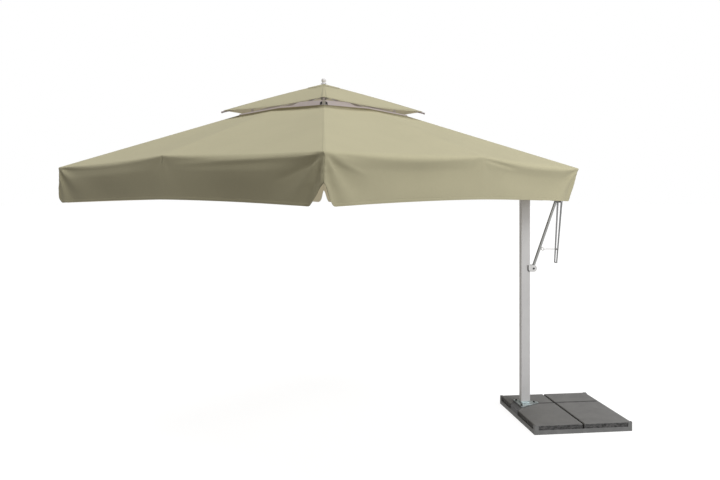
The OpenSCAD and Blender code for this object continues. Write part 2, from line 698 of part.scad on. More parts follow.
base_frame();
foot_box();
slab_front_left();
slab_front_right();
slab_back_left();
slab_back_right();
foot_plate();
foot_bolts();
mast_foot();
mast();
mast_head();
boom_bolt();
boom_tube();
boom_end_cap();
rear_bracket();
rear_bolts();
pole_bracket();
pole();
crown();
crown_pins();
cap_hub();
finial();
lower_hub();
for (k = [0:7]) {
    rib(k);
    stretcher(k);
    gore(k);
}
for (k = CORNERS) {
    cap_rib(k);
    cap_gore(k);
}
saddle();
saddle_bolt();
strut();
handle();
handle_catch();
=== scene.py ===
"""Looks for the cantilever parasol: fabric, webbing, materials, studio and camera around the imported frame."""

import json
import math

import bmesh
import bpy
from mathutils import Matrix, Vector, noise


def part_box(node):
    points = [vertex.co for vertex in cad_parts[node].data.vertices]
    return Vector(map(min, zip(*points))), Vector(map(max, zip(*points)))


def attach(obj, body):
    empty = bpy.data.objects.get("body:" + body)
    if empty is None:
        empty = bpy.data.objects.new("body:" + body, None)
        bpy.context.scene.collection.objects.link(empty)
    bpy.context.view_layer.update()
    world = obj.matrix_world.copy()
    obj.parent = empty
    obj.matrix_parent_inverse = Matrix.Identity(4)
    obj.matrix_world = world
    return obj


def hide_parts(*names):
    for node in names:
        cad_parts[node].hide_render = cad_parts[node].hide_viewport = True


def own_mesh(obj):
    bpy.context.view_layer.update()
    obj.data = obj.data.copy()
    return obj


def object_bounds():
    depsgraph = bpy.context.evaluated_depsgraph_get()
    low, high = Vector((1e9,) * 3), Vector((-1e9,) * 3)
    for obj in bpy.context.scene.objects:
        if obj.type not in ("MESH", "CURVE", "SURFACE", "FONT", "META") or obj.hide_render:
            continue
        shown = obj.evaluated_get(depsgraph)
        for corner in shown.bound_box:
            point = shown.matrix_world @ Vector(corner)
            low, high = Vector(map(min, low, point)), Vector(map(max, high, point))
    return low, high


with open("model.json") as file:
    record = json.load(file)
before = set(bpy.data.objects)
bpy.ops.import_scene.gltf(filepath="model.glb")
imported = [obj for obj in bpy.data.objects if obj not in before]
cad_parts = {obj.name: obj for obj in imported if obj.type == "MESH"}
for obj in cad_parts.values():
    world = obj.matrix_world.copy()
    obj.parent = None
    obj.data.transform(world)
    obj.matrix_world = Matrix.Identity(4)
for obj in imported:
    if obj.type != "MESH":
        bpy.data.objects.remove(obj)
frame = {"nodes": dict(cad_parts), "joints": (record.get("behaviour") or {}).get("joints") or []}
CAD_LOW, CAD_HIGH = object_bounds()

# All lengths are in metres. Ribs are numbered k = 0 to 7 round the pole: even ones run to the corners, odd
# ones to the middles of the sides. A distance d runs along the side from a rib, and is signed.
# The pole, the canopy's turn and its half diagonal are read from the frame.
BOOM_CORNER, BACK_CORNER, LEFT_CORNER, FRONT_CORNER = 0, 2, 4, 6
LEFT_FACE, RIGHT_FACE = 5, 7  # the two faces that the camera sees, named by their side ribs

# Roof and valance
EAVE_CORNER_Z = 2.420
EAVE_SIDE_Z = 2.465
ROOF_SLOPE = 0.298
VENT_REACH = 0.800  # from the pole to the vent's corners
SIDE_VENT_Z = 2.9388
HEM_CORNER_Z = {BOOM_CORNER: 2.102, BACK_CORNER: 2.074, LEFT_CORNER: 2.089, FRONT_CORNER: 2.084}
HEM_SIDE_Z = 2.126
HEM_TURN = 0.022  # how much cloth the hem turns under
HEM_LIFT = 0.0006  # how far the hem stands out from the cloth
CLOTH_T = 0.0016
LOBE_RADIUS = 0.078  # of the valance's rounded ends at a corner
FRONT_LOBE_RADIUS = 0.110  # of the left one at the front corner
NOTCH_TOP_Z = 2.235  # where a corner's slit starts

# Rows of points from the vent down: roof, bend at the eave, then valance
ROOF_ROWS = 26
BEND_ROWS = 10
FALL_ROWS = 30
FALL_START = ROOF_ROWS + BEND_ROWS - 1

# Rows where the stitching beside the corner ribs ends, and where the left face's short seam ends
HIP_STITCH_END = ROOF_ROWS + 4
SHORT_SEAM_END = FALL_START + 5

# The slit that the boom comes out through, beside the boom's corner
BOOM_SLIT_AT = 0.319
BOOM_SLIT_HALF = 0.048
BOOM_SLIT_Z = 2.228

# Webbing round the vent: tall near the front and back corners, low elsewhere
BAND_T = 0.002
BAND_TALL = 0.040
BAND_LOW = 0.013

# Vent cap
CAP_REACH = 0.948
CAP_PEAK_Z = 3.219
CAP_EDGE_Z = 2.962
CAP_SLOPE = 0.24
CAP_INNER = 0.098  # the panels start at the cap ribs' hinges, under the patch
CAP_HEM = 0.975  # where the hem starts, as a share of the cap's reach
CAP_HEM_LIFT = 0.0012
PATCH_RADIUS = 0.150

# How each corner's valance hangs: how far the seam leans in at the hem, and how wide the slit opens
CORNER_HANG = {
    BOOM_CORNER: (0.080, 0.020),
    BACK_CORNER: (0.030, 0.052),
    LEFT_CORNER: (0.000, 0.012),
    FRONT_CORNER: (0.022, 0.072),
}

# Long folds on a face: both ends as distance along the face and depth below the eave, then how far the cloth
# moves out and how wide the fold is
LONG_FOLDS = {
    LEFT_FACE: [((1.9, 0.072), (3.38, 0.026), 0.006, 0.020), ((3.05, 0.19), (3.48, 0.035), -0.007, 0.015)],
    RIGHT_FACE: [((0.02, 0.03), (0.42, 0.15), 0.006, 0.016), ((1.76, 0.022), (2.34, 0.070), -0.010, 0.014)],
}

# How far the cloth draws in just below the eave on each face, or bulges out where it's negative
EAVE_HOLLOW = {LEFT_FACE: -0.012, RIGHT_FACE: 0.018}
PLAIN_HOLLOW = 0.004

# Light and camera
AMBIENT = 0.235
KEY_TOWARDS = (0.20, -0.33, 0.24)
KEY_POWER = 1.43
KEY_SPREAD = 35
TOP_POWER = 1.54
TOP_SPREAD = 45
LAMP_AT = (3.0, -2.5, 2.5)
LAMP_AIM = (-0.5, -1.0, 2.3)
LAMP_POWER = 40
CAMERA_AT = (-2.47, -6.65, 2.15)
CAMERA_TOWARDS = (0.1217, 0.9926, 0)

ROOT2 = math.sqrt(2)
JOINTS = {j["name"]: j for j in frame["joints"]}
YAW = math.atan2(-JOINTS["rib_fold_1"]["axis"][0], JOINTS["rib_fold_1"]["axis"][1])


def middle(name):
    low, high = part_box(name)
    return (Vector(low) + Vector(high)) / 2


POLE = middle("pole")
HALF_DIAG = (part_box("gore_1")[1][0] - POLE.x) / math.cos(YAW)
HALF_SIDE = HALF_DIAG / ROOT2
GORE_HALF = HALF_SIDE / 2
VENT_SIDE = VENT_REACH / ROOT2


def lerp(a, b, t):
    return a + (b - a) * t


def smooth(x, low, high):
    """0 below low, 1 above high, with a soft step between them."""
    t = min(1.0, max(0.0, (x - low) / (high - low)))
    return t * t * (3 - 2 * t)


def to_row(k, p):
    """A point in rib k's frame (X away from the pole, Y along the eave) as a point in the row frame."""
    a = YAW + math.radians(45 * k)
    c, s = math.cos(a), math.sin(a)
    return Vector((POLE.x + c * p[0] - s * p[1], POLE.y + s * p[0] + c * p[1], p[2]))


# ---- materials ----


def principled(name, colour, rough, metal=0.0, sheen=0.0, spec=0.5):
    mat = bpy.data.materials.new(name)
    mat.use_nodes = True
    shader = mat.node_tree.nodes["Principled BSDF"]
    shader.inputs["Base Color"].default_value = (*colour, 1)
    shader.inputs["Roughness"].default_value = rough
    shader.inputs["Metallic"].default_value = metal
    shader.inputs["Sheen Weight"].default_value = sheen
    shader.inputs["Specular IOR Level"].default_value = spec
    return mat, mat.node_tree, shader


def linear(r, g, b):
    """An sRGB colour from 0 to 255 as linear light."""
    return tuple(((c / 255 + 0.055) / 1.055) ** 2.4 if c > 10 else c / 255 / 12.92 for c in (r, g, b))


def node(tree, kind, **values):
    """A new shader node, with its inputs or settings given by name."""
    n = tree.nodes.new(kind)
    for key, value in values.items():
        if key in n.inputs:
            n.inputs[key].default_value = value
        else:
            setattr(n, key, value)
    return n


def noise_node(tree, vector, scale, detail=4.0, rough=0.55):
    n = node(tree, "ShaderNodeTexNoise", Scale=scale, Detail=detail, Roughness=rough)
    tree.links.new(vector, n.inputs["Vector"])
    return n.outputs["Fac"]


def mixed(tree, factor, low, high):
    """A colour that goes from low to high with a 0 to 1 factor, which may be a plain number."""
    n = node(tree, "ShaderNodeMix", data_type="RGBA")
    if isinstance(factor, float):
        n.inputs["Factor"].default_value = factor
    else:
        tree.links.new(factor, n.inputs["Factor"])
    for socket, value in ((n.inputs[6], low), (n.inputs[7], high)):
        if isinstance(value, tuple):
            socket.default_value = (*value, 1)
        else:
            tree.links.new(value, socket)
    return n.outputs[2]


def math_node(tree, operation, a, b=0.0):
    n = node(tree, "ShaderNodeMath", operation=operation)
    for socket, value in zip(n.inputs, (a, b)):
        if isinstance(value, (int, float)):
            socket.default_value = value
        else:
            tree.links.new(value, socket)
    return n.outputs[0]


def scaled(tree, value, factor, offset):
    """value * factor + offset, where offset may be a number or a socket."""
    return math_node(tree, "ADD", math_node(tree, "MULTIPLY", value, factor), offset)


def shade(colour, factor):
    return tuple(c * factor for c in colour)


def ramp(tree, factor, low, high):
    """0 to 1 as factor goes from low to high."""
    n = node(tree, "ShaderNodeMapRange", **{"From Min": low, "From Max": high})
    tree.links.new(factor, n.inputs["Value"])
    return n.outputs["Result"]


def bump(tree, shader, height, strength, distance):
    n = node(tree, "ShaderNodeBump", Strength=strength, Distance=distance)
    tree.links.new(height, n.inputs["Height"])
    tree.links.new(n.outputs["Normal"], shader.inputs["Normal"])


def coordinates(tree, kind="Object"):
    return tree.nodes.new("ShaderNodeTexCoord").outputs[kind]


def stretched(tree, vector, scale):
    n = node(tree, "ShaderNodeMapping", Scale=scale)
    tree.links.new(vector, n.inputs["Vector"])
    return n.outputs["Vector"]


def canvas_material(name, colour, dusty, painted_glow=0.0):
    """Woven canvas. Its UV map is in metres, so threads keep their size. Its emission is painted light that
    stands in for light coming through the cloth.
    """
    mat, tree, shader = principled(name, colour, 0.88, sheen=0.1, spec=0.15)
    shader.inputs["Emission Color"].default_value = (*colour, 1)
    shader.inputs["Emission Strength"].default_value = painted_glow
    uv = coordinates(tree, "UV")
    place = coordinates(tree)
    warp = node(tree, "ShaderNodeTexWave", bands_direction="X", Scale=180.0, Distortion=0.6)
    weft = node(tree, "ShaderNodeTexWave", bands_direction="Y", Scale=180.0, Distortion=0.6)
    for wave in (warp, weft):
        tree.links.new(uv, wave.inputs["Vector"])
    weave = math_node(tree, "MAXIMUM", warp.outputs["Fac"], weft.outputs["Fac"])
    slub = noise_node(tree, stretched(tree, uv, (30, 260, 1)), 1.0, 3)
    cloud = noise_node(tree, place, 2.3, 5)
    fine = noise_node(tree, place, 28.0, 4)
    tone = scaled(tree, cloud, 0.7, math_node(tree, "MULTIPLY", fine, 0.3))
    base = mixed(tree, ramp(tree, tone, 0.36, 0.66), dusty, colour)
    threads = mixed(tree, ramp(tree, slub, 0.2, 0.8), shade(colour, 0.93), shade(colour, 1.05))
    woven = mixed(tree, 0.35, base, threads)
    stitch_and_seam_shade = node(tree, "ShaderNodeAttribute", attribute_name="stitch_and_seam_shade").outputs["Fac"]
    # Darker along the stitches. On the seams under the corner tips and on the left face's short seam, the dark
    # is also painted shade of the drawn-in crease.
    final = mixed(tree, math_node(tree, "MULTIPLY", stitch_and_seam_shade, 0.55), woven, shade(colour, 0.50))
    tree.links.new(final, shader.inputs["Base Color"])
    height = scaled(tree, weave, 0.5, math_node(tree, "MULTIPLY", slub, 0.5))
    height = math_node(tree, "SUBTRACT", height, math_node(tree, "MULTIPLY", stitch_and_seam_shade, 1.2))
    bump(tree, shader, height, 0.35, 0.0006)
    return mat


def metal_material(name, colour, rough, grain=(1, 1, 60), metal=1.0, worn=None):
    """Extruded or brushed metal with fine lines along one axis and a little dulling."""
    mat, tree, shader = principled(name, colour, rough, metal)
    place = coordinates(tree)
    lines = noise_node(tree, stretched(tree, place, grain), 9.0, 6, 0.6)
    cloud = noise_node(tree, place, 6.0, 4)
    low = worn or shade(colour, 0.82)
    tree.links.new(mixed(tree, ramp(tree, cloud, 0.35, 0.7), low, colour), shader.inputs["Base Color"])
    tree.links.new(scaled(tree, lines, 0.16, rough - 0.08), shader.inputs["Roughness"])
    bump(tree, shader, lines, 0.12, 0.0004)
    return mat


def zinc_material():
    """Hot-dip zinc: flat crystals of slightly different greys."""
    mat, tree, shader = principled("zinc", linear(196, 206, 207), 0.42, 0.75)
    cells = node(tree, "ShaderNodeTexVoronoi", Scale=85.0)
    tree.links.new(coordinates(tree), cells.inputs["Vector"])
    grey = node(tree, "ShaderNodeSeparateColor")
    tree.links.new(cells.outputs["Color"], grey.inputs["Color"])
    flakes = grey.outputs[0]
    colour = mixed(tree, flakes, linear(168, 180, 183), linear(214, 223, 224))
    tree.links.new(colour, shader.inputs["Base Color"])
    tree.links.new(scaled(tree, flakes, 0.2, 0.3), shader.inputs["Roughness"])
    bump(tree, shader, flakes, 0.08, 0.0005)
    return mat


def paving_material():
    """Cast concrete: fine aggregate on top, rough dark sides with pits, and painted shadow on the tops beside
    the gap between the slabs.
    """
    mat, tree, shader = principled("paving", linear(121, 121, 121), 0.9, spec=0.3)
    place = coordinates(tree)
    normal = node(tree, "ShaderNodeSeparateXYZ")
    tree.links.new(node(tree, "ShaderNodeNewGeometry").outputs["Normal"], normal.inputs["Vector"])
    facing_up = ramp(tree, math_node(tree, "ABSOLUTE", normal.outputs["Z"]), 0.35, 0.8)
    sand = noise_node(tree, place, 420.0, 3, 0.7)
    patches = noise_node(tree, place, 7.0, 6, 0.6)
    pits = noise_node(tree, stretched(tree, place, (38, 38, 70)), 1.0, 6, 0.7)
    face = mixed(tree, ramp(tree, patches, 0.3, 0.72), linear(112, 112, 112), linear(128, 128, 127))
    specks = mixed(tree, ramp(tree, sand, 0.42, 0.75), linear(104, 104, 104), linear(142, 142, 141))
    top = mixed(tree, 0.3, face, specks)
    side = mixed(tree, ramp(tree, pits, 0.38, 0.62), linear(52, 52, 53), linear(104, 104, 104))
    across = node(tree, "ShaderNodeSeparateXYZ")
    tree.links.new(place, across.inputs["Vector"])
    joint = (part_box("slab_front_left")[1][1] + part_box("slab_back_left")[0][1]) / 2
    off = math_node(tree, "ABSOLUTE", math_node(tree, "SUBTRACT", across.outputs["Y"], joint))
    # Painted shadow: the tops darken towards the gap between the front and back slabs.
    gap_shaded = mixed(tree, ramp(tree, off, 0.006, 0.022), linear(62, 62, 62), top)
    tree.links.new(mixed(tree, facing_up, side, gap_shaded), shader.inputs["Base Color"])
    rough_side = math_node(tree, "MULTIPLY", pits, math_node(tree, "SUBTRACT", 1.0, facing_up))
    bump(tree, shader, scaled(tree, sand, 0.12, rough_side), 0.6, 0.004)
    return mat


def paint_material(name, colour, rough=0.5):
    """Powder coat with a faint orange peel and patches of dust."""
    mat, tree, shader = principled(name, colour, rough)
    place = coordinates(tree)
    peel = noise_node(tree, place, 300.0, 2)
    dust = noise_node(tree, place, 11.0, 5, 0.6)
    dusty = tuple(min(1, c * 1.25 + 0.01) for c in colour)
    tree.links.new(mixed(tree, ramp(tree, dust, 0.4, 0.75), colour, dusty), shader.inputs["Base Color"])
    tree.links.new(scaled(tree, dust, 0.25, rough - 0.1), shader.inputs["Roughness"])
    bump(tree, shader, peel, 0.1, 0.0003)
    return mat


def plastic_material(name, colour, rough):
    """Moulded plastic with a fine grain."""
    mat, tree, shader = principled(name, colour, rough)
    grain = noise_node(tree, coordinates(tree), 700.0, 2)
    tree.links.new(scaled(tree, grain, 0.15, rough - 0.07), shader.inputs["Roughness"])
    bump(tree, shader, grain, 0.08, 0.0002)
    return mat


CANVAS = canvas_material("canvas", (0.50, 0.47, 0.315), (0.465, 0.437, 0.292))
# The inside of the cloth, lighter than the outside and glowing: painted light that stands in for light coming
# through the canvas.
GLOWING_LINING = canvas_material("canvas_inside_glowing", (0.58, 0.53, 0.40), (0.55, 0.50, 0.375), 0.30)
# The webbing glows with painted light, which lifts the band out of the cap's shade.
WEBBING = canvas_material("webbing", (0.60, 0.55, 0.58), (0.55, 0.505, 0.535), 0.34)
ZINC = zinc_material()
PAVING = paving_material()
FRAME_STEEL = paint_material("frame_steel", linear(114, 115, 115), 0.55)
BOX_STEEL = paint_material("box_steel", linear(84, 85, 87), 0.6)
BRACKET_STEEL = paint_material("bracket_steel", linear(112, 111, 109), 0.5)
MAST_METAL = metal_material(
    "mast_metal", linear(213, 213, 214), 0.5, (60, 60, 1), 0.12, linear(207, 207, 208))
SADDLE_METAL = metal_material("saddle_metal", linear(216, 216, 216), 0.48, (8, 8, 8), 0.3)
BOOM_METAL = metal_material("boom_metal", linear(182, 180, 176), 0.42, (1, 60, 60), 0.7)
STRUT_METAL = metal_material("strut_metal", linear(158, 159, 157), 0.42, (60, 60, 2), 0.6)
BAR_METAL = metal_material("bar_metal", linear(128, 129, 129), 0.42, (50, 50, 2), 0.6)
RIB_METAL = metal_material("rib_metal", linear(222, 216, 218), 0.45, (20, 20, 20), 0.15)
CAP_RIB_METAL = metal_material("cap_rib_metal", linear(170, 160, 162), 0.45, (20, 20, 20), 0.5)
BOLT_METAL = metal_material("bolt_metal", linear(188, 190, 192), 0.3, (30, 30, 30))
DARK_BOLT = metal_material("dark_bolt", linear(70, 72, 74), 0.4, (30, 30, 30), 0.8)
CATCH_METAL = metal_material("catch_metal", linear(214, 214, 212), 0.3, (30, 30, 30), 0.6)
DARK_PLASTIC = plastic_material("dark_plastic", linear(58, 58, 60), 0.5)
WHITE_PLASTIC = plastic_material("white_plastic", linear(236, 235, 238), 0.3)

NODE_MATERIALS = {
    "base_frame": FRAME_STEEL, "foot_box": BOX_STEEL, "foot_plate": ZINC, "mast_foot": ZINC,
    "foot_bolts": DARK_BOLT, "mast": MAST_METAL, "mast_head": BRACKET_STEEL, "boom_bolt": BOLT_METAL,
    "boom_tube": BOOM_METAL, "boom_end_cap": DARK_PLASTIC, "rear_bracket": BRACKET_STEEL,
    "rear_bolts": BOLT_METAL, "pole_bracket": BRACKET_STEEL, "pole": BOOM_METAL, "crown": DARK_PLASTIC,
    "crown_pins": BOLT_METAL, "cap_hub": DARK_PLASTIC, "finial": WHITE_PLASTIC, "lower_hub": DARK_PLASTIC,
    "saddle": SADDLE_METAL, "saddle_bolt": DARK_BOLT, "strut": STRUT_METAL, "handle": BAR_METAL,
    "handle_catch": CATCH_METAL,
}


def material_of(name):
    if name.startswith("slab"):
        return PAVING
    if name.startswith(("rib", "stretcher")):
        return RIB_METAL
    if name.startswith("cap_rib"):
        return CAP_RIB_METAL
    return NODE_MATERIALS.get(name, CANVAS)


for name, o in frame["nodes"].items():
    o.data.materials.clear()
    o.data.materials.append(material_of(name))


# ---- mesh helpers ----


def mesh_object(name, points, faces, material, uvs=None, stitches_and_seam_shade=None):
    """A smooth mesh, with uvs in metres and stitch marks (0 to 1) given for each point; on some seams the mark
    is painted shade.
    """
    mesh = bpy.data.meshes.new(name)
    mesh.from_pydata([tuple(p) for p in points], [], faces)
    mesh.validate()
    mesh.polygons.foreach_set("use_smooth", [True] * len(mesh.polygons))
    if uvs:
        layer = mesh.uv_layers.new(name="metres")
        for loop in mesh.loops:
            layer.data[loop.index].uv = uvs[loop.vertex_index]
    if stitches_and_seam_shade:
        mesh.attributes.new("stitch_and_seam_shade", "FLOAT", "POINT").data.foreach_set("value", stitches_and_seam_shade)
    o = bpy.data.objects.new(name, mesh)
    bpy.context.scene.collection.objects.link(o)
    mesh.materials.append(material)
    return o


def thicken(o, thickness, lining=None):
    """Gives a sheet its thickness inwards as real faces, with crisp edges and, if asked, a lining inside."""
    m = o.modifiers.new("thickness", "SOLIDIFY")
    m.thickness = thickness
    m.offset = -1
    if lining:
        o.data.materials.append(lining)
        m.material_offset = 1
    bpy.context.view_layer.update()
    sheet = o.data
    o.data = bpy.data.meshes.new_from_object(o.evaluated_get(bpy.context.evaluated_depsgraph_get()))
    o.modifiers.clear()
    bpy.data.meshes.remove(sheet)
    o.data.set_sharp_from_angle(angle=math.radians(50))
    return o


# ---- fabric ----


def corner_share(k, d):
    """0 on the corner rib, 1 on the side rib."""
    share = min(1.0, abs(d) / GORE_HALF) / 2
    return share if k % 2 == 0 else 1 - share


def slack(k, d):
    """How loose the cloth is: 0 on every rib, 1 halfway between two."""
    return math.sin(math.pi * corner_share(k, d))


def from_corner(k, d):
    """Distance from the nearest corner along the side."""
    return corner_share(k, d) * HALF_SIDE


def outward(k, d):
    """The direction straight out of the face, in rib k's frame."""
    if k % 2:
        return Vector((1, 0, 0))
    return Vector((1 / ROOT2, math.copysign(1, d) / ROOT2, 0))


def along(k, d):
    """The direction along the eave, away from the rib, in rib k's frame."""
    if k % 2:
        return Vector((0, math.copysign(1, d), 0))
    return Vector((-1 / ROOT2, math.copysign(1, d) / ROOT2, 0))


def eave(k, d):
    """The point on the eave, where the roof meets the valance."""
    share = abs(d) / GORE_HALF
    seam_z = (EAVE_CORNER_Z + EAVE_SIDE_Z) / 2
    if k % 2:
        return Vector((HALF_SIDE, d, lerp(EAVE_SIDE_Z, seam_z, share)))
    return Vector((HALF_DIAG - abs(d) / ROOT2, d / ROOT2, lerp(EAVE_CORNER_Z, seam_z, share)))


def vent(k, d):
    """The point on the vent's edge."""
    share = abs(d) / GORE_HALF
    e = d * VENT_REACH / HALF_DIAG
    corner_z = EAVE_CORNER_Z + ROOF_SLOPE * (HALF_DIAG - VENT_REACH)
    seam_z = (corner_z + SIDE_VENT_Z) / 2
    if k % 2:
        return Vector((VENT_SIDE, e, lerp(SIDE_VENT_Z, seam_z, share)))
    return Vector((VENT_REACH - abs(e) / ROOT2, e / ROOT2, lerp(corner_z, seam_z, share)))


def face_of(k, d):
    """The side rib of the face that a point is on."""
    return k if k % 2 else (k + 1 if d > 0 else (k - 1) % 8)


def nearest_corner(k, d):
    """The corner rib beside a point, for the hang and the folds."""
    if k % 2 == 0:
        return k
    return (k + 1) % 8 if d > 0 else k - 1


def hem_height(k, d):
    """The height of the hem, lower towards the corners and rounded up into a lobe beside each slit."""
    x = from_corner(k, d)
    corner = nearest_corner(k, d)
    z = HEM_SIDE_Z - (HEM_SIDE_Z - HEM_CORNER_Z[corner]) * ((HALF_SIDE - x) / HALF_SIDE) ** 1.6
    radius = FRONT_LOBE_RADIUS if corner == FRONT_CORNER and face_of(k, d) == LEFT_FACE else LOBE_RADIUS
    if x < radius:
        z += radius - math.sqrt(max(0.0, radius**2 - (radius - x) ** 2))
    return z


def drag_folds(k, d, depth):
    """Soft folds that fan out from the corner's tip, smaller ones from the side rib's, and a slow ripple."""
    x = from_corner(k, d)
    reach = math.hypot(x, depth)
    angle = math.atan2(depth, x + 1e-6)
    # the two sides of a corner differ, and the gores that share a seam agree
    phase = 0.9 * nearest_corner(k, d) + (0.0 if (d >= 0) == (k % 2 == 0) else 1.3)
    fan = math.sin(9 * angle + phase) * math.exp(-reach / 0.42) * smooth(reach, 0.02, 0.14) * 0.013
    y = HALF_SIDE - x
    reach_side = math.hypot(y, depth)
    fan_side = math.sin(6 * math.atan2(depth, y + 1e-6)) * math.exp(-reach_side / 0.3)
    fan_side *= smooth(reach_side, 0.02, 0.12) * 0.0015
    p = to_row(k, eave(k, d))
    ripple = noise.noise(Vector((p.x * 1.7, p.y * 1.7, depth * 2.0))) * 0.010 * smooth(depth, 0.02, 0.25)
    return (fan + fan_side) * smooth(x, 0.0, 0.05) + ripple * smooth(x, 0.0, 0.2)


def long_folds(k, d, depth):
    """The few long, slanting folds on a face. u is the distance along the face from its first corner."""
    u = from_corner(k, d) if (k % 2 == 0) == (d > 0) else 2 * HALF_SIDE - from_corner(k, d)
    move = 0.0
    for start, end, amount, width in LONG_FOLDS.get(face_of(k, d), []):
        t = (u - start[0]) / (end[0] - start[0])
        if 0 < t < 1:
            off = (depth - lerp(start[1], end[1], t)) / width
            move += amount * math.sin(math.pi * t) ** 0.8 * math.exp(-off * off)
    return move


def corner_seam(k, d, depth):
    """The drawn-in seam under a corner's tip with small puckers beside it, and the left face's short one."""
    if k == LEFT_FACE:
        short = smooth(depth, 0.0, 0.008)
        return -0.006 * math.exp(-((d / 0.007) ** 2)) * short * (1 - smooth(depth, 0.03, 0.05))
    if k % 2:
        return 0.0
    down = smooth(depth, 0.004, 0.03) * (1 - smooth(depth, 0.15, 0.19))
    pucker = 0.0016 * math.sin(depth * 140 + k) * math.exp(-abs(d) / 0.03)
    return (-0.010 * math.exp(-((d / 0.008) ** 2)) + pucker) * down


def roof_point(k, d, t):
    """A point on the roof, t = 0 at the vent and 1 at the eave, sagging between the ribs."""
    p = vent(k, d).lerp(eave(k, d), t)
    s = slack(k, d)
    p.z -= 0.016 * s * 4 * t * (1 - t) + 0.014 * s * t**4
    return p


def valance_point(k, d, depth_share):
    """A point on the valance, depth_share = 0 at the eave and 1 at the hem."""
    top = roof_point(k, d, 1.0)
    depth = (top.z - hem_height(k, d)) * depth_share
    p = Vector((top.x, top.y, top.z - depth))
    lean, opening = CORNER_HANG[nearest_corner(k, d)]
    x = from_corner(k, d)
    out = outward(k, d)
    near = math.exp(-((x / 0.22) ** 2))
    pull = 0.022 * math.sin(math.pi * min(1.0, x / HALF_SIDE)) * depth_share
    below_eave = smooth(depth, 0.02, 0.11) - smooth(depth, 0.11, 0.32)
    hollow = EAVE_HOLLOW.get(face_of(k, d), PLAIN_HOLLOW) * slack(k, d) * below_eave
    p += out * (drag_folds(k, d, depth) - pull - hollow)
    if k % 2 == 0:
        p += Vector((-1, 0, 0)) * lean * depth_share * near
        down = NOTCH_TOP_Z - p.z
        below = smooth(down, 0.0, 0.02) * min(1.0, max(0.0, down / 0.13)) ** 0.7
        side = 1.15 if d < 0 else 0.78
        p += along(k, d) * opening * side * below * math.exp(-x / 0.16)
    return p


def profile(k, d):
    """The cloth from the vent's edge down to the hem at one column: its points and their stitch marks."""
    points, stitch_and_seam_shade = [], []
    top, tip = vent(k, d), eave(k, d)
    run = (tip - top).length
    s = slack(k, d)
    face = face_of(k, d)
    # how far the bend at the eave reaches up the roof and down the valance
    tip_bend = 0.012 + (0.008 * math.exp(-((d / 0.25) ** 2)) if k == RIGHT_FACE else 0.0)
    bend_roof = min(0.3, tip_bend + (0.03 if face == LEFT_FACE else 0.06) * s**0.8)
    bend_fall = tip_bend + (0.03 if face in (LEFT_FACE, RIGHT_FACE) else 0.07) * s**0.8
    fall = roof_point(k, d, 1.0).z - hem_height(k, d)
    roof_end = 1 - bend_roof / run
    fall_start = bend_fall / fall
    for i in range(ROOF_ROWS):
        t = roof_end * i / (ROOF_ROWS - 1)
        points.append(roof_point(k, d, t))
        stitch_and_seam_shade.append(1.0 if i == 1 else 0.0)
    a, b, c = roof_point(k, d, roof_end), roof_point(k, d, 1.0), valance_point(k, d, fall_start)
    for i in range(1, BEND_ROWS):
        t = i / BEND_ROWS
        points.append(a * (1 - t) ** 2 + b * 2 * t * (1 - t) + c * t**2)
        stitch_and_seam_shade.append(0.0)
    hem_share = 1 - HEM_TURN / fall
    shares = [lerp(fall_start, hem_share, i / (FALL_ROWS - 1)) for i in range(FALL_ROWS)]
    shares += [hem_share + 0.002 / fall, 1 - 0.010 / fall, 1.0]
    for share in shares:
        p = valance_point(k, d, share)
        if share > hem_share:
            p += outward(k, d) * HEM_LIFT
        points.append(p)
        stitch_and_seam_shade.append(0.7 if share == hem_share else 0.0)
    rim = eave(k, d).z
    for p in points[ROOF_ROWS - 3:]:
        p += outward(k, d) * (long_folds(k, d, rim - p.z) + corner_seam(k, d, rim - p.z))
    return points, stitch_and_seam_shade


def columns(k):
    """Distances from the rib along the side, closer together near it, with two on the boom slit's edges."""
    steps = 30
    half = [GORE_HALF * (0.3 * i / steps + 0.7 * (i / steps) ** 2) for i in range(steps + 1)]
    half = [0.0, 0.004, 0.010, 0.018] + [x for x in half if x > 0.022]
    if k == BOOM_CORNER:
        edges = [BOOM_SLIT_AT - BOOM_SLIT_HALF, BOOM_SLIT_AT + BOOM_SLIT_HALF]
        half = [x for x in half if min(abs(x - e) for e in edges) > 0.006] + edges
        half.sort()
    return half


